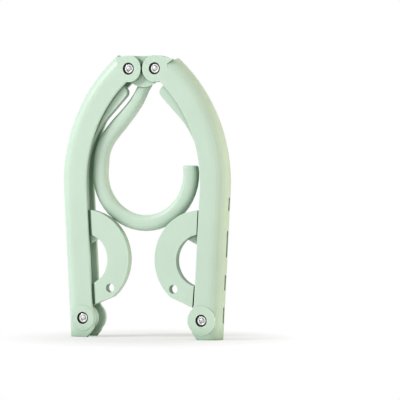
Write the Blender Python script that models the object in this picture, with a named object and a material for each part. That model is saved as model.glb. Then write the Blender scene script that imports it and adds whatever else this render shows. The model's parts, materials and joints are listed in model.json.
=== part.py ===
"""Folding travel hanger, folded up and standing on the flat ends of its two shoulder arms.

The frame is X to the right, Y to the back and Z up, with the floor at Z = 0 and the hook's pivot above
the origin. Each shoulder arm is a channel swept along a leaning straight and one long arc, and an inner
arm with a trouser bar and a D ring nests in it. The two shoulder arms are one moulding turned over, so
the lips, lobes and bosses that differ from face to face are held per side. Outlines are drawn for the
right-hand side and mirrored for the left.
"""

import math

import bmesh
import bpy
from mathutils import Matrix, Vector

MM = 0.001
LEFT, RIGHT = -1, 1

# Gaps between pieces, and the overrun that lets a cutter pass its surface
SEAT_GAP = 0.3 * MM
SWING_GAP = 0.5 * MM
OVERRUN = 3.0 * MM

# Pivots: A joins the hub and a shoulder arm, B joins a shoulder arm and its inner arm
HUB_PIVOT_X = 10.25 * MM
HUB_PIVOT_Z = 194.4 * MM
FOOT_PIVOT_X = 46.7 * MM
FOOT_PIVOT_Z = 13.9 * MM

# Shoulder arm: path of the round back's centre line, which runs past pivot A at a set distance
ARM_FOOT_X = FOOT_PIVOT_X + 3.3 * MM
ARM_LEAN = math.radians(3.1)
ARM_STRAIGHT_Z = 106.9 * MM
ARM_PIVOT_INSET = 5.9 * MM

# Shoulder arm: channel section
ARM_HALF_DEPTH = 9.3 * MM
ARM_WALL = 2.4 * MM
WIDE_LIP = 12.1 * MM
NARROW_LIP = 10.6 * MM
LIP_EDGE_RADIUS = 0.8 * MM
FRONT_LIP = {LEFT: WIDE_LIP, RIGHT: NARROW_LIP}
REAR_LIP = {LEFT: NARROW_LIP, RIGHT: WIDE_LIP}

# Shoulder arm: foot, with its lobes round pivot B and the boss on each face
SMALL_LOBE_RADIUS = 10.2 * MM
LARGE_LOBE_RADIUS = 11.0 * MM
SMALL_BOSS_RADIUS = 9.1 * MM
LARGE_BOSS_RADIUS = 10.6 * MM
FRONT_LOBE_RADIUS = {LEFT: SMALL_LOBE_RADIUS, RIGHT: LARGE_LOBE_RADIUS}
REAR_LOBE_RADIUS = {LEFT: LARGE_LOBE_RADIUS, RIGHT: SMALL_LOBE_RADIUS}
FRONT_BOSS_RADIUS = {LEFT: SMALL_BOSS_RADIUS, RIGHT: LARGE_BOSS_RADIUS}
REAR_BOSS_RADIUS = {LEFT: LARGE_BOSS_RADIUS, RIGHT: SMALL_BOSS_RADIUS}
FOOT_CHAMFER_WIDTH = 5.1 * MM
FOOT_CHAMFER_HEIGHT = 6.2 * MM
FOOT_FLAT_REACH = 3.6 * MM
FOOT_BOSS_STAND = 0.3 * MM
BOSS_ROOT_SHARE = 0.95

# Shoulder arm: slots in the spine, centre height and length as shares of the straight run
SLOT_WIDTH = 2.4 * MM
SLOT_HEIGHT_SHARES = (0.168, 0.387, 0.646, 0.913)
SLOT_LENGTH_SHARES = (0.114, 0.1085, 0.1815, 0.0945)

# Shoulder arm: hinge plate at the top, the step beside it, and the slope that ends the channel below
HINGE_DISC_RADIUS = 9.6 * MM
HINGE_PLATE = 3.3 * MM
STEP_START_X = {LEFT: HUB_PIVOT_X + 8.4 * MM, RIGHT: HUB_PIVOT_X + 9.9 * MM}
STEP_START_Z = HUB_PIVOT_Z + 3.2 * MM
STEP_LENGTH = {LEFT: 5.2 * MM, RIGHT: 5.3 * MM}
STEP_TILT = {LEFT: math.radians(66.0), RIGHT: math.radians(38.5)}
ARM_END_TILT = math.radians(38.5)
ARM_END_REACH = 37.0 * MM
PLATE_ROOT_ANGLE = math.radians(2.2)

# Hub
HUB_FRONT_WALL = 1.4 * MM
HUB_RIM_RADIUS = 9.6 * MM
HUB_REAR = 9.6 * MM
HUB_REAR_ROUND = 9.8 * MM
HUB_TOP_DROP = 0.4 * MM
HUB_APRON_RADIUS = 17.0 * MM
HUB_APRON_DROP = 13.1 * MM
HUB_APRON_HALF_WIDTH = 8.3 * MM
HUB_APRON_ROOM_GAP = 0.075 * MM
HUB_CUT_REACH = HUB_RIM_RADIUS * 2.0
HOOK_SLOT_WIDTH = 11.0 * MM

# Rivets: a flanged tube from the front and a headed pin from the rear
COUNTERBORE_RADIUS = 4.45 * MM
COUNTERBORE_DEPTH = 1.9 * MM
FLANGE_RADIUS = 3.35 * MM
FLANGE_THICKNESS = 0.6 * MM
TUBE_RADIUS = 2.45 * MM
TUBE_BORE_RADIUS = 2.0 * MM
TUBE_MOUTH_RADIUS = 2.3 * MM
TUBE_MOUTH_DEPTH = 0.3 * MM
PIN_RADIUS = 1.7 * MM
PIN_DOME = 0.3 * MM
PIN_DOME_SHARES = ((0.0, 1.0), (0.6, 0.8), (1.0, 0.0))
HEAD_THICKNESS = 0.6 * MM
HEAD_CROWN = 0.35 * MM
CROWN_START_SHARE = 0.7

# Hook: the bar's section, its eye, its pin and its path. The neck's shares are of the bowl's radius
# across, and of the drop from the pivot to the bowl's centre
HOOK_WIDTH = 11.6 * MM
HOOK_NECK_WIDTH = 8.8 * MM
HOOK_NECK_ROOT = 0.09904 * MM
HOOK_PIN_RADIUS = 1.5 * MM
HOOK_PIN_LENGTH = 14.6 * MM
HOOK_BOWL_RADIUS = FOOT_PIVOT_X - 10.9 * MM
HOOK_BOWL_X = -0.6 * MM
HOOK_BOWL_Z = 118.8 * MM
HOOK_BOWL_START = math.radians(172.0)
HOOK_TIP_Z = 124.6 * MM
HOOK_TIP_ROUND = 1.6 * MM
SECTION_POWER = 0.78
TIP_SHARES = ((1.0, 0.0), (0.5, 0.13), (0.13, 0.5), (0.0, 1.0))
HOOK_NECK_SHARES = (
    (0.004, 0.1005),
    (0.0, 0.139),
    (-0.066, 0.188),
    (-0.178, 0.288),
    (-0.317, 0.378),
    (-0.468, 0.459),
    (-0.61, 0.532),
    (-0.742, 0.602),
    (-0.851, 0.668),
    (-0.928, 0.734),
    (-0.988, 0.82),
)

# Inner arm: depth of its three layers
BAR_THICKNESS = 5.3 * MM
RING_THICKNESS = 6.2 * MM
RING_SLOPE_WIDTH = 3.2 * MM
WEB_THICKNESS = 2.2 * MM

# Inner arm: trouser bar
BAR_WIDTH = 11.6 * MM
BAR_FOOT_X = FOOT_PIVOT_X - 2.4 * MM
BAR_BEND_X = FOOT_PIVOT_X - 1.2 * MM
BAR_BEND_Z = 141.3 * MM
BAR_TIP_X = HUB_PIVOT_X + 3.75 * MM
BAR_TIP_Z = HUB_PIVOT_Z - 19.9 * MM
BAR_TIP_ROUND = 4.2 * MM
BAR_BEND_ROUND = 60.0 * MM
BAR_EDGE_RADIUS = 1.2 * MM

# Inner arm: D ring, its opening, its small hole and its web
RING_X = FOOT_PIVOT_X - 0.9 * MM
RING_Z = 57.2 * MM
RING_RADIUS = 35.5 * MM
RING_OPENING_RADIUS = 18.8 * MM
RING_OPENING_DROP = 0.6 * MM
RING_OPENING_SIDE_X = FOOT_PIVOT_X - 0.2 * MM
RING_SIDE_OVERLAP = 2.9 * MM
RING_HOLE_X = RING_X - 20.9 * MM
RING_HOLE_Z = RING_Z - 21.2 * MM
RING_HOLE_RADIUS = 3.3 * MM
RING_FOOT_START_ANGLE = math.radians(230.1)
RING_FOOT_TILT = math.radians(22.5)
WEB_LOW_Z = RING_Z + 8.4 * MM
WEB_TILT = math.radians(27.6)
ROOT_RADIUS = 9.3 * MM
ROOT_ROUND_END = math.radians(262.0)
ROOT_BOSS_RADIUS = 4.9 * MM

# Facets in a full turn, by the size of what is round
FINE_TURN = 50
TURN = 32
SMALL_TURN = 22
CHANNEL_HALF_TURN = 13
BAR_TURN = 20
LIP_EDGE_STEPS = 2
SLOT_END_STEPS = 5
BAR_BEND_STEPS = 8
TIP_STEPS = 4
HOOK_NECK_CURVE_STEPS = 2
HOOK_NECK_STRAIGHT_STEPS = 6
HOOK_NECK_STEPS = 8
HOOK_BOWL_STEPS = 26
HUB_RIM_STEPS = 33
APRON_STEPS = 10
RING_STEPS = 40
OPENING_STEPS = 32
BEND_STEPS = 16
CHAMFER_STEPS = 3
LOBE_STEPS = 7
HINGE_DISC_STEPS = 34

# Colours and finishes
MINT = (0.60, 0.76, 0.63, 1.0)
STEEL = (0.56, 0.56, 0.58, 1.0)
PLASTIC_ROUGHNESS = 0.42
STEEL_ROUGHNESS = 0.28
SMOOTH_ANGLE = math.radians(35.0)

# Depths that follow from the sizes above
ARM_FACE_Y = -ARM_HALF_DEPTH
ARM_INNER_HALF_DEPTH = ARM_HALF_DEPTH - ARM_WALL
HINGE_PLATE_BACK_Y = ARM_FACE_Y + HINGE_PLATE
HUB_FRONT_Y = HINGE_PLATE_BACK_Y + SEAT_GAP
HOOK_SLOT_FRONT_Y = HUB_FRONT_Y + HUB_FRONT_WALL
HOOK_DEPTH = (-HOOK_SLOT_FRONT_Y - SEAT_GAP) * 2.0
BAR_FRONT_Y = -ARM_INNER_HALF_DEPTH + SWING_GAP
BAR_BACK_Y = BAR_FRONT_Y + BAR_THICKNESS
RING_FRONT_Y = ARM_FACE_Y
RING_BACK_Y = RING_FRONT_Y + RING_THICKNESS
FOOT_BOSS_Y = ARM_FACE_Y - FOOT_BOSS_STAND
BODY_CLEARANCE_RADIUS = HUB_RIM_RADIUS + SWING_GAP


def clear_scene():
    for obj in list(bpy.data.objects):
        bpy.data.objects.remove(obj, do_unlink=True)


def make_material(name, colour, roughness, metallic):
    material = bpy.data.materials.new(name)
    material.use_nodes = True
    shader = material.node_tree.nodes["Principled BSDF"]
    shader.inputs["Base Color"].default_value = colour
    shader.inputs["Roughness"].default_value = roughness
    shader.inputs["Metallic"].default_value = metallic
    material.diffuse_color = colour
    return material


def plastic(name):
    return make_material(name + "_plastic", MINT, PLASTIC_ROUGHNESS, 0.0)


def steel(name):
    return make_material(name + "_steel", STEEL, STEEL_ROUGHNESS, 1.0)


def mesh_object(name, bm, as_cutter=False):
    bmesh.ops.recalc_face_normals(bm, faces=bm.faces[:])
    mesh = bpy.data.meshes.new(name)
    bm.to_mesh(mesh)
    bm.free()
    obj = bpy.data.objects.new(name, mesh)
    bpy.context.collection.objects.link(obj)
    if as_cutter:
        obj.hide_render = True
        obj.display_type = "WIRE"
    return obj


def add_boolean(obj, other, operation):
    modifier = obj.modifiers.new(operation.lower() + "_" + other.name, "BOOLEAN")
    modifier.operation = operation
    modifier.solver = "EXACT"
    modifier.object = other


def cut(obj, *cutters):
    for cutter in cutters:
        add_boolean(obj, cutter, "DIFFERENCE")


def join(obj, *others):
    for other in others:
        add_boolean(obj, other, "UNION")


def keep_inside(obj, *others):
    for other in others:
        add_boolean(obj, other, "INTERSECT")


def circle_points(x, z, radius, start, end, count):
    """Points on an arc in the XZ plane, from one angle to another, both ends included."""
    points = []
    for i in range(count + 1):
        angle = start + (end - start) * i / count
        points.append((x + radius * math.cos(angle), z + radius * math.sin(angle)))
    return points


def full_circle(x, z, radius, count):
    half_step = math.pi / count
    return circle_points(x, z, radius, half_step, math.tau + half_step, count)[:-1]


def extrude_outline(name, outline, y_low, y_high, as_cutter=True):
    """A prism along Y on a closed outline of (x, z) points."""
    bm = bmesh.new()
    front = [bm.verts.new((x, y_low, z)) for x, z in outline]
    back = [bm.verts.new((x, y_high, z)) for x, z in outline]
    bm.faces.new(front)
    bm.faces.new(back[::-1])
    for i in range(len(outline)):
        j = (i + 1) % len(outline)
        bm.faces.new((front[j], front[i], back[i], back[j]))
    return mesh_object(name, bm, as_cutter)


def loft_outlines(name, loops, as_cutter=True):
    """A solid through closed loops of 3-D points that all have the same count."""
    bm = bmesh.new()
    rings = [[bm.verts.new(point) for point in loop] for loop in loops]
    for low, high in zip(rings, rings[1:]):
        for i in range(len(low)):
            j = (i + 1) % len(low)
            bm.faces.new((low[i], low[j], high[j], high[i]))
    bm.faces.new(rings[0][::-1])
    bm.faces.new(rings[-1])
    return mesh_object(name, bm, as_cutter)


def turned_along_y(name, profile, x, z, count, as_cutter=True):
    """A solid of revolution about the Y line through (x, z), on a closed profile of (radius, y) points.

    The profile starts and ends on the axis, or closes on itself round a bore.
    """
    bm = bmesh.new()
    rings = []
    for radius, y in profile:
        if radius == 0.0:
            rings.append([bm.verts.new((x, y, z))])
            continue
        ring = []
        for i in range(count):
            angle = math.tau * i / count
            ring.append(bm.verts.new((x + radius * math.cos(angle), y, z + radius * math.sin(angle))))
        rings.append(ring)
    pairs = list(zip(rings, rings[1:]))
    if len(rings[0]) > 1:
        pairs.append((rings[-1], rings[0]))
    for first, second in pairs:
        for i in range(count):
            j = (i + 1) % count
            if len(first) == 1:
                bm.faces.new((first[0], second[j], second[i]))
            elif len(second) == 1:
                bm.faces.new((first[i], first[j], second[0]))
            else:
                bm.faces.new((first[i], first[j], second[j], second[i]))
    return mesh_object(name, bm, as_cutter)


def cylinder_along_y(name, x, z, radius, y_low, y_high, count):
    return extrude_outline(name, full_circle(x, z, radius, count), y_low, y_high)


def finish_node(obj, material, pivot):
    """Gives a node its material, smooth shading and an origin on its pivot."""
    obj.data.materials.clear()
    obj.data.materials.append(material)
    obj.data.transform(Matrix.Translation(-Vector(pivot)))
    obj.location = pivot
    for polygon in obj.data.polygons:
        polygon.use_smooth = True
    obj.data.set_sharp_from_angle(angle=SMOOTH_ANGLE)
    return obj


def mirrored(outline, side):
    return [(side * x, z) for x, z in outline]


# Shoulder arm


def arm_bend():
    """The bend's centre, radius and end angle: an arc from the straight's top that passes pivot A."""
    top = Vector((ARM_FOOT_X + ARM_STRAIGHT_Z * math.tan(ARM_LEAN), ARM_STRAIGHT_Z))
    pivot = Vector((HUB_PIVOT_X, HUB_PIVOT_Z))
    inboard = Vector((-math.cos(ARM_LEAN), math.sin(ARM_LEAN)))
    span = top - pivot
    radius = (ARM_PIVOT_INSET**2 - span.length_squared) / (inboard.dot(span) + ARM_PIVOT_INSET) / 2.0
    centre = top + inboard * radius
    end_angle = math.atan2(pivot.y - centre.y, pivot.x - centre.x)
    return centre.x, centre.y, radius, end_angle


def arm_axis_x(z):
    """Where the round back's centre line is on the straight run, at height z."""
    return ARM_FOOT_X + z * math.tan(ARM_LEAN)


def lobe_edge_x(z, lip, lobe_radius):
    """The lip's X on the straight run, with the lobe round pivot B and the chamfer at the foot."""
    edge = arm_axis_x(z) - lip / math.cos(ARM_LEAN)
    rise = z - FOOT_PIVOT_Z
    if abs(rise) < lobe_radius:
        edge = min(edge, FOOT_PIVOT_X - math.sqrt(lobe_radius**2 - rise**2))
    chamfer = FOOT_PIVOT_X - FOOT_FLAT_REACH - FOOT_CHAMFER_WIDTH * z / FOOT_CHAMFER_HEIGHT
    return max(edge, chamfer)


def arm_section(front_lip, rear_lip):
    """The channel's closed section as (u, y), u being outward from the round back's centre line."""
    outer = ARM_HALF_DEPTH
    inner = ARM_INNER_HALF_DEPTH
    edge = LIP_EDGE_RADIUS
    half = CHANNEL_HALF_TURN
    points = []
    for y_side, lip in ((-1, front_lip), (1, rear_lip)):
        corners = (
            (-lip + edge, y_side * (outer - edge), math.pi / 2.0),
            (-lip + edge, y_side * (inner + edge), math.pi),
        )
        rounded = []
        for u, y, start in corners:
            for i in range(LIP_EDGE_STEPS + 1):
                angle = start + math.pi / 2.0 * i / LIP_EDGE_STEPS
                rounded.append((u + edge * math.cos(angle), y + y_side * edge * math.sin(angle)))
        if y_side < 0:
            front_edge = rounded
        else:
            rear_edge = rounded
    for i in range(half + 1):
        angle = -math.pi / 2.0 + math.pi * i / half
        points.append((outer * math.cos(angle), outer * math.sin(angle)))
    points += rear_edge
    for i in range(half + 1):
        angle = math.pi / 2.0 - math.pi * i / half
        points.append((inner * math.cos(angle), inner * math.sin(angle)))
    points += front_edge[::-1]
    return points


def arm_stations(side):
    """The section's loops from the floor, up the straight run and round the bend."""
    front_lip, rear_lip = FRONT_LIP[side], REAR_LIP[side]
    front_lobe, rear_lobe = FRONT_LOBE_RADIUS[side], REAR_LOBE_RADIUS[side]
    loops = []
    tangent = Vector((math.sin(ARM_LEAN), 0.0, math.cos(ARM_LEAN)))
    outward = Vector((math.cos(ARM_LEAN), 0.0, -math.sin(ARM_LEAN)))
    lobe_top = FOOT_PIVOT_Z + LARGE_LOBE_RADIUS
    heights = [0.0]
    heights += [FOOT_CHAMFER_HEIGHT * i / CHAMFER_STEPS for i in range(1, CHAMFER_STEPS)]
    for i in range(LOBE_STEPS + 1):
        heights.append(FOOT_CHAMFER_HEIGHT + (lobe_top - FOOT_CHAMFER_HEIGHT) * i / LOBE_STEPS)
    heights.append(ARM_STRAIGHT_Z)
    for z in heights:
        axis = arm_axis_x(z)
        front = (axis - lobe_edge_x(z, front_lip, front_lobe)) * math.cos(ARM_LEAN)
        rear = (axis - lobe_edge_x(z, rear_lip, rear_lobe)) * math.cos(ARM_LEAN)
        centre = Vector((axis, 0.0, z))
        loop = []
        for u, y in arm_section(front, rear):
            point = centre + outward * u + Vector((0.0, y, 0.0))
            if z < ARM_STRAIGHT_Z:
                point += tangent * ((z - point.z) / tangent.z)
            loop.append(point)
        loops.append(loop)
    bend_x, bend_z, bend_radius, end_angle = arm_bend()
    section = arm_section(front_lip, rear_lip)
    for i in range(1, BEND_STEPS + 1):
        angle = -ARM_LEAN + (end_angle + ARM_LEAN) * i / BEND_STEPS
        loop = []
        for u, y in section:
            reach = bend_radius + u
            loop.append(Vector((bend_x + reach * math.cos(angle), y, bend_z + reach * math.sin(angle))))
        loops.append(loop)
    return loops


def step_corner(side):
    """The outer end of the step, where the hinge plate's top edge meets the round back."""
    x = STEP_START_X[side] + STEP_LENGTH[side] * math.cos(STEP_TILT[side])
    z = STEP_START_Z + STEP_LENGTH[side] * math.sin(STEP_TILT[side])
    return x, z


def hinge_plate_outline(side):
    """The flat plate at the top: the disc round pivot A as far as the lip, its root in the front wall,
    and the step."""
    corner_x, corner_z = step_corner(side)
    across = corner_x - HUB_PIVOT_X
    rise = corner_z - HUB_PIVOT_Z
    distance = math.hypot(across, rise)
    tangent_angle = math.atan2(rise, across) + math.acos(HINGE_DISC_RADIUS / distance)
    bend_x, bend_z, bend_radius, pivot_angle = arm_bend()
    lip_reach = bend_radius - FRONT_LIP[side] + LIP_EDGE_RADIUS
    pivot_reach = bend_radius - ARM_PIVOT_INSET
    span = pivot_reach**2 + HINGE_DISC_RADIUS**2 - lip_reach**2
    lip_angle = pivot_angle + math.pi + math.acos(span / (2.0 * pivot_reach * HINGE_DISC_RADIUS))
    outline = circle_points(
        HUB_PIVOT_X, HUB_PIVOT_Z, HINGE_DISC_RADIUS, tangent_angle, lip_angle, HINGE_DISC_STEPS
    )
    root_angle = math.atan2(STEP_START_Z - bend_z, STEP_START_X[RIGHT] - bend_x) - PLATE_ROOT_ANGLE
    outline.append(
        (bend_x + bend_radius * math.cos(root_angle), bend_z + bend_radius * math.sin(root_angle))
    )
    outline.append((STEP_START_X[side], STEP_START_Z))
    outline.append((corner_x, corner_z))
    return outline


def arm_end_cutter(name, side):
    """Everything of the swept channel beyond the step, and beyond a slope below it."""
    up = Vector((math.cos(STEP_TILT[side]), math.sin(STEP_TILT[side])))
    down = -Vector((math.cos(ARM_END_TILT), math.sin(ARM_END_TILT)))
    start = Vector((STEP_START_X[side], STEP_START_Z))
    above = Vector((-ARM_END_REACH, ARM_END_REACH))
    low = start + down * ARM_END_REACH
    high = start + up * ARM_END_REACH
    corners = (low, start, high, high + above, low + above)
    outline = [(side * corner.x, corner.y) for corner in corners]
    return extrude_outline(name, outline, -ARM_END_REACH, ARM_END_REACH)


def slot_cutters(name, side):
    cutters = []
    half = SLOT_WIDTH / 2.0
    for i, (height_share, length_share) in enumerate(zip(SLOT_HEIGHT_SHARES, SLOT_LENGTH_SHARES)):
        height = ARM_STRAIGHT_Z * height_share
        straight = ARM_STRAIGHT_Z * length_share / 2.0 - half
        outline = circle_points(0.0, straight, half, 0.0, math.pi, SLOT_END_STEPS)
        outline += circle_points(0.0, -straight, half, math.pi, math.tau, SLOT_END_STEPS)
        bm = bmesh.new()
        low_u = ARM_INNER_HALF_DEPTH - ARM_WALL
        high_u = ARM_HALF_DEPTH + OVERRUN
        loops = []
        for u in (low_u, high_u):
            loop = []
            for y, rise in outline:
                x = arm_axis_x(height) + u * math.cos(ARM_LEAN) + rise * math.sin(ARM_LEAN)
                z = height - u * math.sin(ARM_LEAN) + rise * math.cos(ARM_LEAN)
                loop.append(bm.verts.new((side * x, y, z)))
            loops.append(loop)
        bm.faces.new(loops[0])
        bm.faces.new(loops[1][::-1])
        for a in range(len(outline)):
            b = (a + 1) % len(outline)
            bm.faces.new((loops[0][b], loops[0][a], loops[1][a], loops[1][b]))
        cutters.append(mesh_object(name + "_slot_" + str(i + 1), bm, as_cutter=True))
    return cutters


def rivet_cutters(name, x, z, face_y, back_y):
    """The counterbore for the flange and the clearance bore for the tube, through one front wall."""
    bore = cylinder_along_y(
        name + "_bore", x, z, TUBE_RADIUS + SEAT_GAP, face_y - OVERRUN, back_y + OVERRUN, SMALL_TURN
    )
    recess = cylinder_along_y(
        name + "_recess", x, z, COUNTERBORE_RADIUS, face_y - OVERRUN, face_y + COUNTERBORE_DEPTH, TURN
    )
    return bore, recess


def make_shoulder_arm(name, side):
    loops = [[Vector((side * p.x, p.y, p.z)) for p in loop] for loop in arm_stations(side)]
    arm = loft_outlines(name, loops, as_cutter=False)
    cut(arm, arm_end_cutter(name + "_end", side))
    hub_room = cylinder_along_y(
        name + "_hub_room", side * HUB_PIVOT_X, HUB_PIVOT_Z, BODY_CLEARANCE_RADIUS, HINGE_PLATE_BACK_Y,
        ARM_HALF_DEPTH + OVERRUN, FINE_TURN,
    )
    cut(arm, hub_room)
    plate = extrude_outline(
        name + "_hinge_plate", mirrored(hinge_plate_outline(side), side), ARM_FACE_Y, HINGE_PLATE_BACK_Y
    )
    join(arm, plate)
    foot_x = side * FOOT_PIVOT_X
    boss_root_y = ARM_HALF_DEPTH - ARM_WALL * BOSS_ROOT_SHARE
    front_boss = cylinder_along_y(
        name + "_front_boss", foot_x, FOOT_PIVOT_Z, FRONT_BOSS_RADIUS[side], FOOT_BOSS_Y, -boss_root_y,
        FINE_TURN,
    )
    rear_boss = cylinder_along_y(
        name + "_rear_boss", foot_x, FOOT_PIVOT_Z, REAR_BOSS_RADIUS[side], boss_root_y, -FOOT_BOSS_Y,
        FINE_TURN,
    )
    join(arm, front_boss, rear_boss)
    cut(arm, *slot_cutters(name, side))
    cut(
        arm,
        *rivet_cutters(
            name + "_hinge", side * HUB_PIVOT_X, HUB_PIVOT_Z, ARM_FACE_Y, HINGE_PLATE_BACK_Y
        ),
    )
    cut(arm, *rivet_cutters(name + "_foot", foot_x, FOOT_PIVOT_Z, FOOT_BOSS_Y, -FOOT_BOSS_Y))
    rear_recess = cylinder_along_y(
        name + "_rear_recess", foot_x, FOOT_PIVOT_Z, COUNTERBORE_RADIUS, -FOOT_BOSS_Y - COUNTERBORE_DEPTH,
        -FOOT_BOSS_Y + OVERRUN, TURN,
    )
    cut(arm, rear_recess)
    return finish_node(arm, plastic(name), (side * HUB_PIVOT_X, 0.0, HUB_PIVOT_Z))


# Inner arm


def channel_room(front_y):
    """How far outward of the round back's centre line a flat face at front_y may reach inside it."""
    return math.sqrt(ARM_INNER_HALF_DEPTH**2 - front_y**2) - SWING_GAP


def bar_outline():
    """The trouser bar from the root to its rounded tip, inner edge first.

    Its outer edge leans with the channel up to the bend, and then runs beside the inner edge.
    """
    foot = Vector((BAR_FOOT_X, FOOT_PIVOT_Z))
    bend = Vector((BAR_BEND_X, BAR_BEND_Z))
    tip = Vector((BAR_TIP_X, BAR_TIP_Z))
    straight = (bend - foot).normalized()
    sloped = (tip - bend).normalized()
    out_straight = Vector((straight.y, -straight.x))
    out_sloped = Vector((sloped.y, -sloped.x))
    turn = math.acos(straight.dot(sloped))
    bend_start = bend - straight * BAR_BEND_ROUND * math.tan(turn / 2.0)
    centre = bend_start - out_straight * BAR_BEND_ROUND
    first = math.atan2(out_straight.y, out_straight.x)
    inner = []
    outer = []
    for i in range(BAR_BEND_STEPS + 1):
        angle = first + turn * i / BAR_BEND_STEPS
        outward = Vector((math.cos(angle), math.sin(angle)))
        inner.append(centre + outward * BAR_BEND_ROUND)
        outer.append(centre + outward * (BAR_BEND_ROUND + BAR_WIDTH))
    points = [foot] + inner
    end_angle = math.atan2(-out_sloped.y, -out_sloped.x)
    for reach in (BAR_TIP_ROUND, BAR_WIDTH - BAR_TIP_ROUND):
        corner = tip + out_sloped * reach
        for i in range(TIP_STEPS + 1):
            angle = end_angle - math.pi / 2.0 * i / TIP_STEPS
            points.append(corner + Vector((math.cos(angle), math.sin(angle))) * BAR_TIP_ROUND)
        end_angle -= math.pi / 2.0
    points += outer[::-1]
    points.append(Vector((arm_axis_x(FOOT_PIVOT_Z) + channel_room(BAR_FRONT_Y), FOOT_PIVOT_Z)))
    return [(p.x, p.y) for p in points]


def root_outline():
    """The root round pivot B: full on the inboard side and below, and drawn in to the boss outboard,
    so that it turns inside the round back."""
    angle_off = math.acos(ROOT_BOSS_RADIUS / ROOT_RADIUS)
    top = math.pi / 2.0 + angle_off / 2.0
    neck = math.tau + math.pi / 2.0 - angle_off / 2.0
    outline = circle_points(FOOT_PIVOT_X, FOOT_PIVOT_Z, ROOT_RADIUS, top, ROOT_ROUND_END, FINE_TURN // 2)
    outline += circle_points(
        FOOT_PIVOT_X, FOOT_PIVOT_Z, ROOT_BOSS_RADIUS, ROOT_ROUND_END + angle_off, neck, SMALL_TURN // 2
    )
    return outline


def ring_foot_end():
    """Where the ring's straight lower edge passes the root's neck."""
    start_x = RING_X + RING_RADIUS * math.cos(RING_FOOT_START_ANGLE)
    start_z = RING_Z + RING_RADIUS * math.sin(RING_FOOT_START_ANGLE)
    return FOOT_PIVOT_X, start_z - (FOOT_PIVOT_X - start_x) * math.tan(RING_FOOT_TILT)


def ring_outline(outer_x):
    """The D plate: the big arc, its straight foot edge and a straight outer side at outer_x."""
    end_x, end_z = ring_foot_end()
    start = math.acos((outer_x - RING_X) / RING_RADIUS)
    outline = circle_points(RING_X, RING_Z, RING_RADIUS, start, RING_FOOT_START_ANGLE, RING_STEPS)
    slope = math.tan(RING_FOOT_TILT)
    outline.append((outer_x, end_z - (outer_x - end_x) * slope))
    return outline


def lip_line_x(z, side, reach):
    """The front lip's X at height z, moved inboard by reach."""
    return arm_axis_x(z) - FRONT_LIP[side] / math.cos(ARM_LEAN) - reach


def ring_plate_cutter(name, side):
    """Takes the thick ring plate back to the lip, with a slope under the edge.

    The cut lies in front of the bar's face only, so the neck stays.
    """
    low_z = FOOT_PIVOT_Z - ROOT_RADIUS - OVERRUN
    high_z = RING_Z + RING_RADIUS + OVERRUN
    loops = []
    for z in (low_z, high_z):
        far = arm_axis_x(z) + ARM_HALF_DEPTH
        edge = lip_line_x(z, side, SWING_GAP)
        inner = lip_line_x(z, side, SWING_GAP + RING_SLOPE_WIDTH)
        loops.append(
            [
                Vector((side * far, BAR_FRONT_Y, z)),
                Vector((side * edge, BAR_FRONT_Y, z)),
                Vector((side * inner, RING_FRONT_Y - SEAT_GAP / 2.0, z)),
                Vector((side * inner, RING_FRONT_Y - OVERRUN, z)),
                Vector((side * far, RING_FRONT_Y - OVERRUN, z)),
            ]
        )
    return loft_outlines(name, loops)


def opening_outline():
    """The D opening, closed by its straight side against the bar."""
    centre_z = RING_Z - RING_OPENING_DROP
    start = math.acos((RING_OPENING_SIDE_X - RING_X) / RING_OPENING_RADIUS)
    return circle_points(RING_X, centre_z, RING_OPENING_RADIUS, start, math.tau - start, OPENING_STEPS)


def web_outline():
    """The thin web across the opening's upper outer corner."""
    low = (RING_OPENING_SIDE_X + BAR_EDGE_RADIUS, WEB_LOW_Z - BAR_EDGE_RADIUS * math.tan(WEB_TILT))
    rise = RING_OPENING_RADIUS * math.sin(WEB_TILT)
    far_x = RING_OPENING_SIDE_X - RING_OPENING_RADIUS * math.cos(WEB_TILT)
    far = (far_x, WEB_LOW_Z + rise)
    top = (RING_OPENING_SIDE_X + BAR_EDGE_RADIUS, RING_Z + RING_OPENING_RADIUS + BAR_EDGE_RADIUS)
    return [low, far, (far_x, top[1]), top]


def make_bar_arm(name, side):
    bar = extrude_outline(name, mirrored(bar_outline(), side), BAR_FRONT_Y, BAR_BACK_Y, as_cutter=False)
    ring = extrude_outline(
        name + "_ring", mirrored(ring_outline(RING_OPENING_SIDE_X + RING_SIDE_OVERLAP), side), RING_FRONT_Y,
        RING_BACK_Y,
    )
    root = extrude_outline(name + "_root", mirrored(root_outline(), side), BAR_FRONT_Y, BAR_BACK_Y)
    boss = cylinder_along_y(
        name + "_root_boss", side * FOOT_PIVOT_X, FOOT_PIVOT_Z, ROOT_BOSS_RADIUS, BAR_BACK_Y - SEAT_GAP,
        -BAR_FRONT_Y, TURN,
    )
    join(bar, ring, root, boss)
    cut(bar, ring_plate_cutter(name + "_lip_relief", side))
    opening = extrude_outline(
        name + "_opening", mirrored(opening_outline(), side), RING_FRONT_Y - OVERRUN, OVERRUN
    )
    hole = cylinder_along_y(
        name + "_hole", side * RING_HOLE_X, RING_HOLE_Z, RING_HOLE_RADIUS, RING_FRONT_Y - OVERRUN, OVERRUN,
        SMALL_TURN,
    )
    cut(bar, opening, hole)
    web_front = BAR_FRONT_Y + SWING_GAP
    web = extrude_outline(
        name + "_web", mirrored(web_outline(), side), web_front, web_front + WEB_THICKNESS
    )
    join(bar, web)
    bore = cylinder_along_y(
        name + "_bore", side * FOOT_PIVOT_X, FOOT_PIVOT_Z, TUBE_RADIUS + SEAT_GAP, -ARM_HALF_DEPTH,
        ARM_HALF_DEPTH, SMALL_TURN,
    )
    cut(bar, bore)
    return finish_node(bar, plastic(name), (side * FOOT_PIVOT_X, 0.0, FOOT_PIVOT_Z))


# Hub


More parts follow.
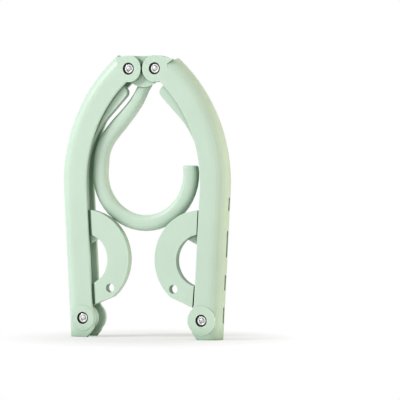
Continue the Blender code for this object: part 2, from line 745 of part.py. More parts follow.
def hub_outline():
    """The hub's front wall: two rims, a flat top between them and an apron below."""
    apron_z = HUB_PIVOT_Z - HUB_APRON_DROP + HUB_APRON_RADIUS
    top_angle = math.asin((HUB_RIM_RADIUS - HUB_TOP_DROP) / HUB_RIM_RADIUS)
    apron_angle = math.asin(HUB_APRON_HALF_WIDTH / HUB_APRON_RADIUS)
    down = -math.pi / 2.0
    right = circle_points(
        HUB_PIVOT_X, HUB_PIVOT_Z, HUB_RIM_RADIUS, down, math.pi - top_angle, HUB_RIM_STEPS
    )
    left = [(-x, z) for x, z in right[::-1]]
    apron = circle_points(
        0.0, apron_z, HUB_APRON_RADIUS, down - apron_angle, down + apron_angle, APRON_STEPS
    )
    return right + left + apron


def hub_rear_limit(name):
    """A long bar about the hook's axis, open to the front, whose half-round rear rounds the hub's."""
    half = HUB_PIVOT_X + HUB_RIM_RADIUS + OVERRUN
    reach = HUB_CUT_REACH
    centre_y = HUB_REAR - HUB_REAR_ROUND
    profile = [(HUB_FRONT_Y - OVERRUN, -reach), (centre_y, -reach)]
    profile += circle_points(centre_y, 0.0, HUB_REAR_ROUND, -math.pi / 2.0, math.pi / 2.0, TURN // 2)
    profile += [(centre_y, reach), (HUB_FRONT_Y - OVERRUN, reach)]
    loops = []
    for x in (-half, half):
        loops.append([Vector((x, y, HUB_PIVOT_Z + z)) for y, z in profile])
    return loft_outlines(name, loops)


def box_cutter(name, x_range, y_range, z_range):
    outline = [
        (x_range[0], z_range[0]),
        (x_range[1], z_range[0]),
        (x_range[1], z_range[1]),
        (x_range[0], z_range[1]),
    ]
    return extrude_outline(name, outline, y_range[0], y_range[1])


def make_hub(name):
    hub = extrude_outline(name, hub_outline(), HUB_FRONT_Y, HUB_REAR + OVERRUN, as_cutter=False)
    keep_inside(hub, hub_rear_limit(name + "_rear_limit"))
    half = HOOK_SLOT_WIDTH / 2.0
    reach = HUB_CUT_REACH
    slot = box_cutter(
        name + "_hook_slot", (-half, half), (HOOK_SLOT_FRONT_Y, reach),
        (HUB_PIVOT_Z - reach, HUB_PIVOT_Z + reach),
    )
    apron_room = box_cutter(
        name + "_apron_room", (-HUB_PIVOT_X, HUB_PIVOT_X), (HOOK_SLOT_FRONT_Y, reach),
        (HUB_PIVOT_Z - reach, HUB_PIVOT_Z - HUB_RIM_RADIUS - HUB_APRON_ROOM_GAP),
    )
    cut(hub, slot, apron_room)
    for side, label in ((LEFT, "left"), (RIGHT, "right")):
        x = side * HUB_PIVOT_X
        bore = cylinder_along_y(
            name + "_" + label + "_bore", x, HUB_PIVOT_Z, TUBE_RADIUS + SEAT_GAP, HUB_FRONT_Y - OVERRUN,
            HUB_REAR + OVERRUN, SMALL_TURN,
        )
        recess = cylinder_along_y(
            name + "_" + label + "_recess", x, HUB_PIVOT_Z, FLANGE_RADIUS + SEAT_GAP,
            HUB_REAR - COUNTERBORE_DEPTH, HUB_REAR + OVERRUN, TURN,
        )
        cut(hub, bore, recess)
    cut(hub, hook_pin_bore(name + "_pin_bore", HOOK_PIN_LENGTH + SEAT_GAP * 2.0))
    return finish_node(hub, plastic(name), (0.0, 0.0, HUB_PIVOT_Z))


# Hook


def cylinder_along_x(name, radius, length, count, as_cutter=True):
    loops = []
    for x in (-length / 2.0, length / 2.0):
        loop = [Vector((x, y, HUB_PIVOT_Z + z)) for y, z in full_circle(0.0, 0.0, radius, count)]
        loops.append(loop)
    return loft_outlines(name, loops, as_cutter)


def hook_pin_bore(name, length):
    return cylinder_along_x(name, HOOK_PIN_RADIUS + SEAT_GAP, length, SMALL_TURN)


def smooth_curve(points, steps):
    """A Catmull-Rom curve through the points, ends included."""
    padded = [points[0] * 2.0 - points[1]] + points + [points[-1] * 2.0 - points[-2]]
    curve = []
    for i in range(1, len(padded) - 2):
        a, b, c, d = padded[i - 1 : i + 3]
        for step in range(steps):
            t = step / steps
            curve.append(
                (b * 2.0 + (c - a) * t + (a * 2.0 - b * 5.0 + c * 4.0 - d) * t**2
                 + (b * 3.0 - a - c * 3.0 + d) * t**3) * 0.5
            )
    curve.append(points[-1])
    return curve


def hook_path():
    """The hook's centre line in the XZ plane, from just inside its eye to its free end."""
    drop = HUB_PIVOT_Z - HOOK_BOWL_Z
    neck = [Vector((0.0, HUB_PIVOT_Z - HOOK_DEPTH / 2.0 + HOOK_NECK_ROOT))]
    neck += [Vector((HOOK_BOWL_RADIUS * x, HUB_PIVOT_Z - drop * z)) for x, z in HOOK_NECK_SHARES]
    end = math.tau + math.asin((HOOK_TIP_Z - HOOK_BOWL_Z) / HOOK_BOWL_RADIUS)
    arc = circle_points(
        HOOK_BOWL_X, HOOK_BOWL_Z, HOOK_BOWL_RADIUS, HOOK_BOWL_START, end, HOOK_BOWL_STEPS
    )
    bowl = [Vector(point) for point in arc]
    curve = smooth_curve(neck + bowl[:2], HOOK_NECK_CURVE_STEPS)
    return curve[: -HOOK_NECK_CURVE_STEPS - 1] + bowl


def hook_section(width, depth, count):
    """A rounded oblong, fuller than an ellipse, as (across, y)."""
    points = []
    for i in range(count):
        angle = math.tau * i / count
        c, s = math.cos(angle), math.sin(angle)
        points.append(
            (
                math.copysign(abs(c) ** SECTION_POWER, c) * width / 2.0,
                math.copysign(abs(s) ** SECTION_POWER, s) * depth / 2.0,
            )
        )
    return points


def make_hook(name):
    path = hook_path()
    eye_width = HOOK_SLOT_WIDTH - SEAT_GAP * 2.0
    loops = []
    last = len(path) - 1
    for i, point in enumerate(path):
        ahead = path[min(i + 1, last)] - path[max(i - 1, 0)]
        ahead.normalize()
        if i == last:
            ahead = Vector((0.0, 1.0))
        across = Vector((ahead.y, -ahead.x))
        growth = min(1.0, max(0.0, (i - HOOK_NECK_STRAIGHT_STEPS) / HOOK_NECK_STEPS))
        wide = HOOK_NECK_WIDTH + (HOOK_WIDTH - HOOK_NECK_WIDTH) * growth
        loop = []
        for u, y in hook_section(wide, HOOK_DEPTH, BAR_TURN):
            spot = point + across * u
            loop.append(Vector((spot.x, y, spot.y)))
        loops.append(loop)
    tip = loops.pop()
    middle = Vector((path[-1].x, 0.0, path[-1].y))
    for drop_share, inset_share in TIP_SHARES:
        ring = []
        for vertex in tip:
            inward = middle - vertex
            inward.normalize()
            moved = vertex + inward * HOOK_TIP_ROUND * inset_share
            moved.z -= HOOK_TIP_ROUND * drop_share
            ring.append(moved)
        loops.append(ring)
    hook = loft_outlines(name, loops, as_cutter=False)
    eye = cylinder_along_x(name + "_eye", HOOK_DEPTH / 2.0, eye_width, TURN)
    join(hook, eye)
    cut(hook, hook_pin_bore(name + "_pin_bore", HOOK_SLOT_WIDTH + OVERRUN))
    return finish_node(hook, plastic(name), (0.0, 0.0, HUB_PIVOT_Z))


def make_hook_pin(name):
    pin = cylinder_along_x(name, HOOK_PIN_RADIUS, HOOK_PIN_LENGTH, SMALL_TURN, as_cutter=False)
    return finish_node(pin, steel(name), (0.0, 0.0, HUB_PIVOT_Z))


# Rivets


def make_rivet(name, side, x, z, front_seat_y, rear_seat_y):
    """A flanged tube with its flange just off the front seat, and a pin with its head at the rear seat."""
    flange_back = front_seat_y - SEAT_GAP
    flange_front = flange_back - FLANGE_THICKNESS
    tube_end = rear_seat_y - SEAT_GAP
    tube = turned_along_y(
        name + "_tube",
        (
            (TUBE_BORE_RADIUS, flange_front + TUBE_MOUTH_DEPTH),
            (TUBE_MOUTH_RADIUS, flange_front),
            (FLANGE_RADIUS - FLANGE_THICKNESS / 2.0, flange_front),
            (FLANGE_RADIUS, flange_front + FLANGE_THICKNESS / 2.0),
            (FLANGE_RADIUS, flange_back),
            (TUBE_RADIUS, flange_back),
            (TUBE_RADIUS, tube_end),
            (TUBE_BORE_RADIUS, tube_end),
        ),
        side * x, z, SMALL_TURN, as_cutter=False,
    )
    head_front = rear_seat_y + SEAT_GAP
    head_back = head_front + HEAD_THICKNESS
    mouth = flange_front + TUBE_MOUTH_DEPTH
    dome = [(PIN_RADIUS * reach, mouth - PIN_DOME * rise) for reach, rise in PIN_DOME_SHARES]
    pin = turned_along_y(
        name + "_pin",
        dome
        + [
            (PIN_RADIUS, head_front),
            (FLANGE_RADIUS, head_front),
            (FLANGE_RADIUS, head_front + HEAD_THICKNESS / 2.0),
            (FLANGE_RADIUS * CROWN_START_SHARE, head_back),
            (0.0, head_back + HEAD_CROWN),
        ],
        side * x, z, SMALL_TURN, as_cutter=False,
    )
    finish_node(tube, steel(tube.name), (side * x, 0.0, z))
    finish_node(pin, steel(pin.name), (side * x, 0.0, z))


def build():
    clear_scene()
    make_hub("hub")
    make_hook("hook")
    make_hook_pin("hook_pin")
    for side, label in ((LEFT, "left"), (RIGHT, "right")):
        make_shoulder_arm(label + "_shoulder_arm", side)
        make_bar_arm(label + "_bar_arm", side)
        make_rivet(
            label + "_hub_rivet", side, HUB_PIVOT_X, HUB_PIVOT_Z, ARM_FACE_Y + COUNTERBORE_DEPTH,
            HUB_REAR - COUNTERBORE_DEPTH,
        )
        make_rivet(
            label + "_foot_rivet", side, FOOT_PIVOT_X, FOOT_PIVOT_Z, FOOT_BOSS_Y + COUNTERBORE_DEPTH,
            -FOOT_BOSS_Y - COUNTERBORE_DEPTH,
        )


build()
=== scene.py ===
"""Looks, light and camera for the folding travel hanger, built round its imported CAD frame."""

import json
import math

import bmesh
import bpy
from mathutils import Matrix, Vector


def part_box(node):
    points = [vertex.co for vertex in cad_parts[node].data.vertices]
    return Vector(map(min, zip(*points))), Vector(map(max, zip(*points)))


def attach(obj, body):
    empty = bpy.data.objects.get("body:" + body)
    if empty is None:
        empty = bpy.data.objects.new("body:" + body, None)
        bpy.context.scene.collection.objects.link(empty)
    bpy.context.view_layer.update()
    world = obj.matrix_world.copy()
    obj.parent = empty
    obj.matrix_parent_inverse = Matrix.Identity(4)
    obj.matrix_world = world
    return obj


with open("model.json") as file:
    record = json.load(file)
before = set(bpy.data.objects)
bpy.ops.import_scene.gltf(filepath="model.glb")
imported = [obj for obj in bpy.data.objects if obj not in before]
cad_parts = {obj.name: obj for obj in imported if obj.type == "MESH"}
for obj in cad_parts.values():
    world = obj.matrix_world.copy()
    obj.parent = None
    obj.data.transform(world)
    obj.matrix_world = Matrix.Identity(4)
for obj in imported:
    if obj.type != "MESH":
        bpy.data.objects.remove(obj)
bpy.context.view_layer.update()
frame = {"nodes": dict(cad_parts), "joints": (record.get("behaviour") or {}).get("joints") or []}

MM = 0.001

# Camera: the side it stands on, how far off and how high, the point it looks at and the width it takes in
CAMERA_AZIMUTH = math.radians(22.9)
CAMERA_DISTANCE = 2000.0 * MM
CAMERA_HEIGHT = 130.7 * MM
CAMERA_TARGET = (35.6 * MM, 15.0 * MM, 99.7 * MM)
CAMERA_SENSOR = 36.0
VIEW_WIDTH = 289.0 * MM

# Colours
PLASTIC = (0.585, 0.745, 0.615)
# Painted shade: the first for hollows, the second, near black, for crevices and the recesses round the rivets
SHADE = (0.20, 0.34, 0.22)
CREVICE_SHADE = (0.012, 0.022, 0.014)
BRIGHT_STEEL = (0.93, 0.93, 0.93)
STEEL = (0.62, 0.61, 0.61)
FLOOR_GREY = (0.93, 0.93, 0.93)
WHITE = (1.0, 1.0, 1.0)
WARM = (1.0, 0.85, 0.58)

# Plastic: how far off a neighbour still casts painted shade on the arms, the inner pieces and the crevices,
# and how wide the painted highlights along its edges are
SHELL_REACH = 12.0 * MM
INNER_REACH = 30.0 * MM
CREVICE_REACH = 3.0 * MM
EDGE_HIGHLIGHT_WIDTH = 0.9 * MM

# Eased edges: how wide they are, the gaps and folds too small to keep in the CAD meshes, and the angles
# above which an edge is eased
EDGE_WIDTH = 0.45 * MM
RIVET_EDGE_WIDTH = 0.12 * MM
RING_FACE_EDGE_WIDTH = 0.02 * MM
HOOK_ROOT_EDGE_WIDTH = 0.1 * MM
WELD_DISTANCE = 0.002 * MM
FLAT_ANGLE = math.radians(0.6)
EASED_ANGLE = math.radians(30.0)
SHARP_ANGLE = math.radians(35.0)

# Right arm's pivots, from the frame's joints: the one on the hub, and the one on its own foot
PIVOTS = {joint["name"]: joint["pos_m"] for joint in frame["joints"]}
HUB_PIVOT_X, _, HUB_PIVOT_Z = PIVOTS["right_shoulder"]
FOOT_PIVOT_X, _, FOOT_PIVOT_Z = PIVOTS["right_bar_swing"]

# Rivet recesses, painted as shadow: their radius, how far from the middle plane their painted shadow ends,
# and both edges' softness
WELL_RADIUS = 4.52 * MM
WELL_RADIUS_FADE = 0.1 * MM
WELL_END = 8.9 * MM
WELL_END_FADE = 0.2 * MM

# Right arm's front lip and the lobe round its foot pivot, as in part.py, and the room kept off that lobe
ARM_FOOT_X = FOOT_PIVOT_X + 3.3 * MM
ARM_LEAN = math.radians(3.1)
NARROW_LIP = 10.6 * MM
LARGE_LOBE_RADIUS = 11.0 * MM
SWING_GAP = 0.5 * MM
LOBE_ROOM = 0.2 * MM

# Right D ring and its opening, as in part.py, and where its straight lower edge starts
RING_X = FOOT_PIVOT_X - 0.9 * MM
RING_Z = 57.2 * MM
RING_RADIUS = 35.5 * MM
RING_OPENING_RADIUS = 18.8 * MM
RING_OPENING_DROP = 0.6 * MM
RING_FOOT_X = 23.03 * MM
RING_FOOT_Z = 29.97 * MM
RING_FOOT_TILT = math.radians(22.5)

# Flat face that runs on over the ring's slope: its plane, how far it stands out of the ring and sinks into
# it, the slope under it, its sections from inboard of the slope (below 0) to the lip (1), and where and in
# how many rounds the search for a section's corners runs
RING_FACE_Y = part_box("right_bar_arm")[0].y
FACE_STAND = 0.01 * MM
FACE_SINK = 0.05 * MM
SLOPE_WIDTH = 3.2 * MM
SLOPE_DEPTH = 2.9 * MM
FACE_SHARES = (-0.25, 0.0, 0.2, 0.4, 0.6, 0.8, 1.0)
CROSSING_START_X = 42.0 * MM
CROSSING_ROUNDS = 6

# Web under the hook's eye: each section's drop below the pivot and its depth, and the sections' form
HOOK_ROOT_SECTIONS = ((4.2 * MM, 8.0 * MM), (3.8 * MM, 8.0 * MM), (3.0 * MM, 7.6 * MM), (2.2 * MM, 6.9 * MM))
HOOK_NECK_WIDTH = 8.8 * MM
SECTION_POWER = 0.78
SECTION_SIDES = 24

# Floor: its size, where round the hanger it fades out into white, and how much of it is white before that.
# Then the light that the surround gives, and the point that the lamps aim at
FLOOR_SIZE = 4000.0 * MM
FLOOR_FADE_START = 50.0 * MM
FLOOR_FADE_END = 110.0 * MM
FLOOR_GLOW = 0.45
SURROUND_LIGHT = 0.24
LAMP_TARGET = (0.0, 0.0, 100.0 * MM)

# A Mix node's two colour inputs and its colour output, which share their names with its other sockets
MIX_FIRST = 6
MIX_SECOND = 7
MIX_RESULT = 2


class Graph:
    """A node tree, with short calls to add and link nodes."""

    def __init__(self, owner):
        owner.use_nodes = True
        self.nodes = owner.node_tree.nodes
        self.links = owner.node_tree.links

    def add(self, kind, **settings):
        node = self.nodes.new(kind)
        for key, value in settings.items():
            setattr(node, key, value)
        return node

    def link(self, source, target):
        self.links.new(source, target)

    def fill(self, socket, value):
        """Gives a socket a colour or vector, or links it to another node's output."""
        if isinstance(value, tuple):
            room = len(socket.default_value)
            socket.default_value = (value + (1.0,))[:room]
        else:
            self.link(value, socket)

    def ramp(self, factor, low=0.0, high=1.0, at_low=0.0, at_high=1.0):
        """Goes from at_low to at_high as the factor goes from low to high, and stays level beyond them."""
        node = self.add("ShaderNodeMapRange", clamp=True)
        node.inputs["From Min"].default_value = low
        node.inputs["From Max"].default_value = high
        node.inputs["To Min"].default_value = at_low
        node.inputs["To Max"].default_value = at_high
        self.link(factor, node.inputs["Value"])
        return node.outputs["Result"]

    def mix(self, factor, first, second):
        node = self.add("ShaderNodeMix", data_type="RGBA")
        self.link(factor, node.inputs["Factor"])
        self.fill(node.inputs[MIX_FIRST], first)
        self.fill(node.inputs[MIX_SECOND], second)
        return node.outputs[MIX_RESULT]

    def combine(self, operation, first, second):
        """The product, or the larger, of two factors."""
        node = self.add("ShaderNodeMath", operation=operation)
        self.link(first, node.inputs[0])
        self.link(second, node.inputs[1])
        return node.outputs[0]

    def vector(self, operation, first, second=None):
        """The result of vector math, which is one number for a length or a dot product."""
        node = self.add("ShaderNodeVectorMath", operation=operation)
        self.link(first, node.inputs[0])
        if second is not None:
            self.fill(node.inputs[1], second)
        return node.outputs["Value" if operation in ("LENGTH", "DOT_PRODUCT") else "Vector"]

    def blend(self, factor, first, second, target):
        """Mixes two shaders into the target socket."""
        node = self.add("ShaderNodeMixShader")
        self.link(factor, node.inputs[0])
        self.link(first.outputs[0], node.inputs[1])
        self.link(second.outputs[0], node.inputs[2])
        self.link(node.outputs[0], target)


class Paint(Graph):
    """A material's node tree, whose patterns are placed by the object's own coordinates."""

    def __init__(self, name):
        self.material = bpy.data.materials.new(name)
        super().__init__(self.material)
        self.shader = self.nodes["Principled BSDF"]
        self.surface = self.nodes["Material Output"].inputs["Surface"]
        self.place = self.add("ShaderNodeTexCoord").outputs["Object"]

    def noise(self, scale, detail, roughness, stretch=(1.0, 1.0, 1.0)):
        mapping = self.add("ShaderNodeMapping")
        mapping.inputs["Scale"].default_value = stretch
        self.link(self.place, mapping.inputs["Vector"])
        noise = self.add("ShaderNodeTexNoise")
        noise.inputs["Scale"].default_value = scale
        noise.inputs["Detail"].default_value = detail
        noise.inputs["Roughness"].default_value = roughness
        self.link(mapping.outputs["Vector"], noise.inputs["Vector"])
        return noise.outputs["Fac"]

    def openness(self, distance):
        """1 in the open and less in hollows and gaps that are narrower than the distance."""
        node = self.add("ShaderNodeAmbientOcclusion", samples=8)
        node.inputs["Distance"].default_value = distance
        return node.outputs["AO"]

    def edges(self, radius):
        """1 within the radius of an edge, where a rounded normal leaves the true one."""
        rounded = self.add("ShaderNodeBevel", samples=6)
        rounded.inputs["Radius"].default_value = radius
        true = self.add("ShaderNodeNewGeometry")
        match = self.vector("DOT_PRODUCT", rounded.outputs["Normal"], true.outputs["Normal"])
        return self.ramp(match, low=0.88, high=0.985, at_low=1.0, at_high=0.0)

    def shadowed_wells(self, pivots):
        """1 in the recesses round these pivots, left and right, front and back, out to where they end: where
        painted shadow goes.
        """
        folded = self.vector("ABSOLUTE", self.place)
        inside = None
        for x, z in pivots:
            away = self.vector("SUBTRACT", folded, (x, 0.0, z))
            radius = self.vector("LENGTH", self.vector("MULTIPLY", away, (1.0, 0.0, 1.0)))
            near = self.ramp(radius, WELL_RADIUS, WELL_RADIUS + WELL_RADIUS_FADE, at_low=1.0, at_high=0.0)
            inside = near if inside is None else self.combine("MAXIMUM", inside, near)
        sides = self.add("ShaderNodeSeparateXYZ")
        self.link(folded, sides.inputs[0])
        deep = self.ramp(sides.outputs["Y"], WELL_END, WELL_END + WELL_END_FADE, at_low=1.0, at_high=0.0)
        return self.combine("MULTIPLY", inside, deep)

    def bump(self, height, strength, distance, normal=None):
        node = self.add("ShaderNodeBump")
        node.inputs["Strength"].default_value = strength
        node.inputs["Distance"].default_value = distance
        self.link(height, node.inputs["Height"])
        if normal is not None:
            self.link(normal, node.inputs["Normal"])
        return node.outputs["Normal"]

    def finish(self, base, roughness, normal):
        """Links the three patterns to the shader and gives the material."""
        self.link(base, self.shader.inputs["Base Color"])
        self.link(roughness, self.shader.inputs["Roughness"])
        self.link(normal, self.shader.inputs["Normal"])
        return self.material


def scaled(colour, factor):
    return tuple(min(1.0, part * factor) for part in colour)


def plastic(name, reach, shadowed_wells=(), edge_highlights=True):
    """Moulded satin plastic: faint cloudiness, a fine spark-eroded grain, painted shade in its hollows and
    crevices, painted shadow in the recesses round the rivets, and painted highlights along its open edges."""
    paint = Paint(name)
    cloud = paint.ramp(paint.noise(scale=28.0, detail=4.0, roughness=0.55), low=0.35, high=0.65)
    flow_noise = paint.noise(scale=60.0, detail=3.0, roughness=0.5, stretch=(1.0, 1.0, 0.25))
    flow = paint.ramp(flow_noise, low=0.4, high=0.6, at_high=0.35)
    base = paint.mix(cloud, scaled(PLASTIC, 0.975), scaled(PLASTIC, 1.02))
    base = paint.mix(flow, base, scaled(PLASTIC, 1.03))

    hollow = paint.openness(reach)
    crevice = paint.openness(CREVICE_REACH)
    # Painted shade: darker in hollows, and near black in crevices
    base = paint.mix(paint.ramp(hollow, low=0.25, high=0.97, at_low=0.9, at_high=0.0), base, SHADE)
    base = paint.mix(paint.ramp(crevice, low=0.22, high=0.66, at_low=0.96, at_high=0.0), base, CREVICE_SHADE)
    # Painted shadow, near black, in the recesses round the rivets
    if shadowed_wells:
        base = paint.mix(paint.ramp(paint.shadowed_wells(shadowed_wells), at_high=0.97), base, CREVICE_SHADE)
    # Painted highlights: paler along edges out in the open
    if edge_highlights:
        in_open = paint.ramp(crevice, low=0.7, high=0.95)
        wear_and_highlight = paint.combine("MULTIPLY", paint.edges(EDGE_HIGHLIGHT_WIDTH), in_open)
        wear_and_highlight = paint.combine("MULTIPLY", wear_and_highlight, paint.ramp(cloud, at_low=0.6))
        base = paint.mix(wear_and_highlight, base, scaled(PLASTIC, 1.3))

    smudge = paint.noise(scale=95.0, detail=5.0, roughness=0.6)
    roughness = paint.ramp(smudge, low=0.3, high=0.7, at_low=0.40, at_high=0.52)
    ripple = paint.noise(scale=170.0, detail=2.0, roughness=0.5)
    grain = paint.noise(scale=5200.0, detail=2.0, roughness=0.5)
    normal = paint.bump(ripple, strength=0.10, distance=0.4 * MM)
    normal = paint.bump(grain, strength=0.12, distance=0.03 * MM, normal=normal)

    paint.shader.inputs["IOR"].default_value = 1.49
    paint.shader.inputs["Subsurface Weight"].default_value = 0.06
    paint.shader.inputs["Subsurface Radius"].default_value = (0.9, 1.0, 0.8)
    paint.shader.inputs["Subsurface Scale"].default_value = 0.8 * MM
    return paint.finish(base, roughness, normal)


def steel(name, colour, roughness):
    """Pressed steel: turning marks, cloudy tarnish and small scuffs."""
    paint = Paint(name)
    tarnish = paint.ramp(paint.noise(scale=420.0, detail=4.0, roughness=0.6), low=0.35, high=0.7)
    base = paint.mix(tarnish, colour, scaled(colour, 0.72))
    scuffs = paint.noise(scale=1400.0, detail=3.0, roughness=0.6)
    wear_and_highlight = paint.ramp(scuffs, low=0.3, high=0.7, at_low=roughness - 0.07, at_high=roughness + 0.1)
    marks = paint.noise(scale=2600.0, detail=3.0, roughness=0.65, stretch=(1.0, 0.2, 1.0))
    normal = paint.bump(marks, strength=0.25, distance=0.04 * MM)
    paint.shader.inputs["Metallic"].default_value = 1.0
    return paint.finish(base, wear_and_highlight, normal)


def ease(obj, width, segments, angle):
    """Rounds an object's edges that are sharper than the angle."""
    bevel = obj.modifiers.new("edges", "BEVEL")
    bevel.width = width
    bevel.segments = segments
    bevel.limit_method = "ANGLE"
    bevel.angle_limit = angle
    return bevel


def dress(name, material, edge):
    """Gives a CAD node its material and eased edges."""
    obj = frame["nodes"][name]
    obj.data.materials.clear()
    obj.data.materials.append(material)
    weld = obj.modifiers.new("weld", "WELD")
    weld.merge_threshold = WELD_DISTANCE
    flat = obj.modifiers.new("flat", "DECIMATE")
    flat.decimate_type = "DISSOLVE"
    flat.angle_limit = FLAT_ANGLE
    bevel = ease(obj, edge, segments=3, angle=EASED_ANGLE)
    bevel.harden_normals = True
    bevel.use_clamp_overlap = True


def dress_frame(shell, inner):
    """The arms in one plastic, the hub, hook and inner arms in another, and the rivets in steel."""
    tube = steel("rivet_steel", BRIGHT_STEEL, roughness=0.24)
    pin = steel("pin_steel", STEEL, roughness=0.42)
    for node in frame["nodes"]:
        if "rivet_tube" in node:
            dress(node, tube, RIVET_EDGE_WIDTH)
        elif "pin" in node:
            dress(node, pin, RIVET_EDGE_WIDTH)
        elif "bar_arm" in node or node in ("hub", "hook"):
            dress(node, inner, EDGE_WIDTH)
        else:
            dress(node, shell, EDGE_WIDTH)


def solid(name, rings, material, body, edge):
    """A closed piece through rings of points, with eased edges, riding on a body."""
    bm = bmesh.new()
    loops = [[bm.verts.new(point) for point in ring] for ring in rings]
    for low, high in zip(loops, loops[1:]):
        for i in range(len(low)):
            j = (i + 1) % len(low)
            bm.faces.new((low[i], low[j], high[j], high[i]))
    bm.faces.new(loops[0][::-1])
    bm.faces.new(loops[-1])
    bmesh.ops.recalc_face_normals(bm, faces=bm.faces[:])
    mesh = bpy.data.meshes.new(name)
    bm.to_mesh(mesh)
    bm.free()
    obj = bpy.data.objects.new(name, mesh)
    bpy.context.collection.objects.link(obj)
    mesh.materials.append(material)
    mesh.shade_smooth()
    mesh.set_sharp_from_angle(angle=SHARP_ANGLE)
    ease(obj, edge, segments=2, angle=SHARP_ANGLE)
    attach(obj, body)


def lip_x(z):
    """How far out the ring's face may reach at height z: the right arm's front lip and lobe, less the gap."""
    lip = ARM_FOOT_X + z * math.tan(ARM_LEAN) - NARROW_LIP / math.cos(ARM_LEAN)
    rise = z - FOOT_PIVOT_Z
    lobe_radius = LARGE_LOBE_RADIUS + LOBE_ROOM
    if abs(rise) < lobe_radius:
        lip = min(lip, FOOT_PIVOT_X - math.sqrt(lobe_radius**2 - rise**2))
    return lip - SWING_GAP


def ring_top(x):
    """Height of the ring's round outer edge at x, on its upper side."""
    return RING_Z + math.sqrt(RING_RADIUS**2 - (x - RING_X) ** 2)


def opening_top(x):
    """Height of the upper edge of the ring's opening at x."""
    return RING_Z - RING_OPENING_DROP + math.sqrt(RING_OPENING_RADIUS**2 - (x - RING_X) ** 2)


def opening_foot(x):
    """Height of the lower edge of the ring's opening at x."""
    return RING_Z - RING_OPENING_DROP - math.sqrt(RING_OPENING_RADIUS**2 - (x - RING_X) ** 2)


def ring_foot(x):
    """Height of the ring's straight lower edge at x."""
    return RING_FOOT_Z - (x - RING_FOOT_X) * math.tan(RING_FOOT_TILT)


def crossing(edge, inboard):
    """Where an edge of the ring meets the line that runs this far inboard of the lip."""
    z = edge(CROSSING_START_X)
    for _ in range(CROSSING_ROUNDS):
        x = lip_x(z) - inboard
        z = edge(x)
    return x, z


def ring_face(name, low_edge, high_edge, material):
    """One end of the right ring's flat face, in front of the slope that the solid has beside the lip."""
    front = RING_FACE_Y - FACE_STAND
    rings = []
    for share in FACE_SHARES:
        low_x, low_z = crossing(low_edge, SLOPE_WIDTH * (1.0 - share))
        high_x, high_z = crossing(high_edge, SLOPE_WIDTH * (1.0 - share))
        back = RING_FACE_Y + SLOPE_DEPTH * max(0.0, share) + FACE_SINK
        in_front = [(low_x, front, low_z), (high_x, front, high_z)]
        behind = [(high_x, back, high_z), (low_x, back, low_z)]
        rings.append(in_front + behind)
    solid(name, rings, material, "right_bar", RING_FACE_EDGE_WIDTH)


def hook_root(material):
    """The web that carries the hook's neck into its eye."""
    rings = []
    for drop, depth in HOOK_ROOT_SECTIONS:
        ring = []
        for i in range(SECTION_SIDES):
            angle = math.tau * i / SECTION_SIDES
            across, along = math.cos(angle), math.sin(angle)
            x = math.copysign(abs(across) ** SECTION_POWER, across) * HOOK_NECK_WIDTH / 2.0
            y = math.copysign(abs(along) ** SECTION_POWER, along) * depth / 2.0
            ring.append((x, y, HUB_PIVOT_Z - drop))
        rings.append(ring)
    solid("hook_root", rings, material, "hook", HOOK_ROOT_EDGE_WIDTH)


def floor():
    """A pale floor that fades out into the white surround."""
    bpy.ops.mesh.primitive_plane_add(size=FLOOR_SIZE, location=(0.0, 0.0, 0.0))
    plane = bpy.context.object
    plane.name = "floor"
    paint = Paint("floor_paint")
    paint.fill(paint.shader.inputs["Base Color"], FLOOR_GREY)
    paint.shader.inputs["Roughness"].default_value = 0.9
    paint.shader.inputs["Specular IOR Level"].default_value = 0.0
    plane.data.materials.append(paint.material)
    glow = paint.add("ShaderNodeEmission")
    paint.fill(glow.inputs["Color"], WHITE)
    away = paint.vector("LENGTH", paint.place)
    share = paint.ramp(away, FLOOR_FADE_START, FLOOR_FADE_END, at_low=FLOOR_GLOW)
    ray = paint.add("ShaderNodeLightPath")
    seen = paint.combine("MAXIMUM", ray.outputs["Is Camera Ray"], ray.outputs["Is Glossy Ray"])
    paint.blend(paint.combine("MULTIPLY", seen, share), paint.shader, glow, paint.surface)


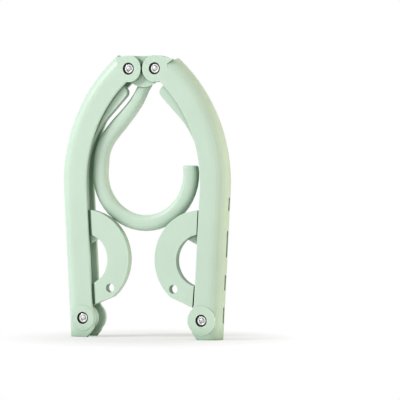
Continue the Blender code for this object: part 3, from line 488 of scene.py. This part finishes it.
def surround():
    """White where it is seen, straight on or mirrored, and otherwise a dim, even light from all round."""
    world = bpy.data.worlds.new("surround")
    bpy.context.scene.world = world
    graph = Graph(world)
    graph.nodes.clear()
    dim = graph.add("ShaderNodeBackground")
    dim.inputs["Strength"].default_value = SURROUND_LIGHT
    white = graph.add("ShaderNodeBackground")
    for background in (dim, white):
        graph.fill(background.inputs["Color"], WHITE)
    ray = graph.add("ShaderNodeLightPath")
    seen = graph.combine("MAXIMUM", ray.outputs["Is Camera Ray"], ray.outputs["Is Transmission Ray"])
    seen = graph.combine("MAXIMUM", seen, ray.outputs["Is Glossy Ray"])
    out = graph.add("ShaderNodeOutputWorld")
    graph.blend(seen, dim, white, out.inputs["Surface"])


def add_object(name, data, place, target):
    """An object at a place, turned so that it looks at the target."""
    obj = bpy.data.objects.new(name, data)
    bpy.context.scene.collection.objects.link(obj)
    obj.location = place
    obj.rotation_euler = (Vector(target) - Vector(place)).to_track_quat("-Z", "Y").to_euler()
    return obj


def lamp(name, place, size, power, colour=WHITE):
    data = bpy.data.lights.new(name, "AREA")
    data.color = colour
    data.shape = "SQUARE"
    data.size = size
    data.energy = power
    add_object(name, data, place, LAMP_TARGET)


def studio_camera():
    """The photograph's angle, level and through a long lens."""
    data = bpy.data.cameras.new("camera")
    data.sensor_width = CAMERA_SENSOR
    data.lens = CAMERA_SENSOR * CAMERA_DISTANCE / VIEW_WIDTH
    side = Vector((math.sin(CAMERA_AZIMUTH), -math.cos(CAMERA_AZIMUTH), 0.0))
    place = Vector(CAMERA_TARGET) + side * CAMERA_DISTANCE
    place.z = CAMERA_HEIGHT
    bpy.context.scene.camera = add_object("camera", data, place, CAMERA_TARGET)


rivet_pivots = ((HUB_PIVOT_X, HUB_PIVOT_Z), (FOOT_PIVOT_X, FOOT_PIVOT_Z))
# The arms' plastic carries painted shadow in the recesses round both rivets
arm_plastic = plastic("arm_plastic", SHELL_REACH, shadowed_wells=rivet_pivots)
inner_plastic = plastic("inner_plastic", INNER_REACH)
# No painted edge highlights on the ring's flat faces
face_plastic = plastic("lip_plastic", INNER_REACH, edge_highlights=False)
dress_frame(arm_plastic, inner_plastic)
ring_face("right_ring_upper_face", opening_top, ring_top, face_plastic)
ring_face("right_ring_lower_face", ring_foot, opening_foot, face_plastic)
hook_root(inner_plastic)

floor()
surround()
lamp("key", place=(-1.30, -0.95, 0.95), size=0.5, power=23.2)
lamp("fill", place=(0.9, -1.3, 0.5), size=0.8, power=4.2)
lamp("bounce", place=(0.7, 0.12, 0.15), size=0.8, power=3.8, colour=WARM)
lamp("top", place=(0.0, 0.5, 1.4), size=0.8, power=2.5)
studio_camera()
bpy.context.scene.view_settings.view_transform = "Standard"
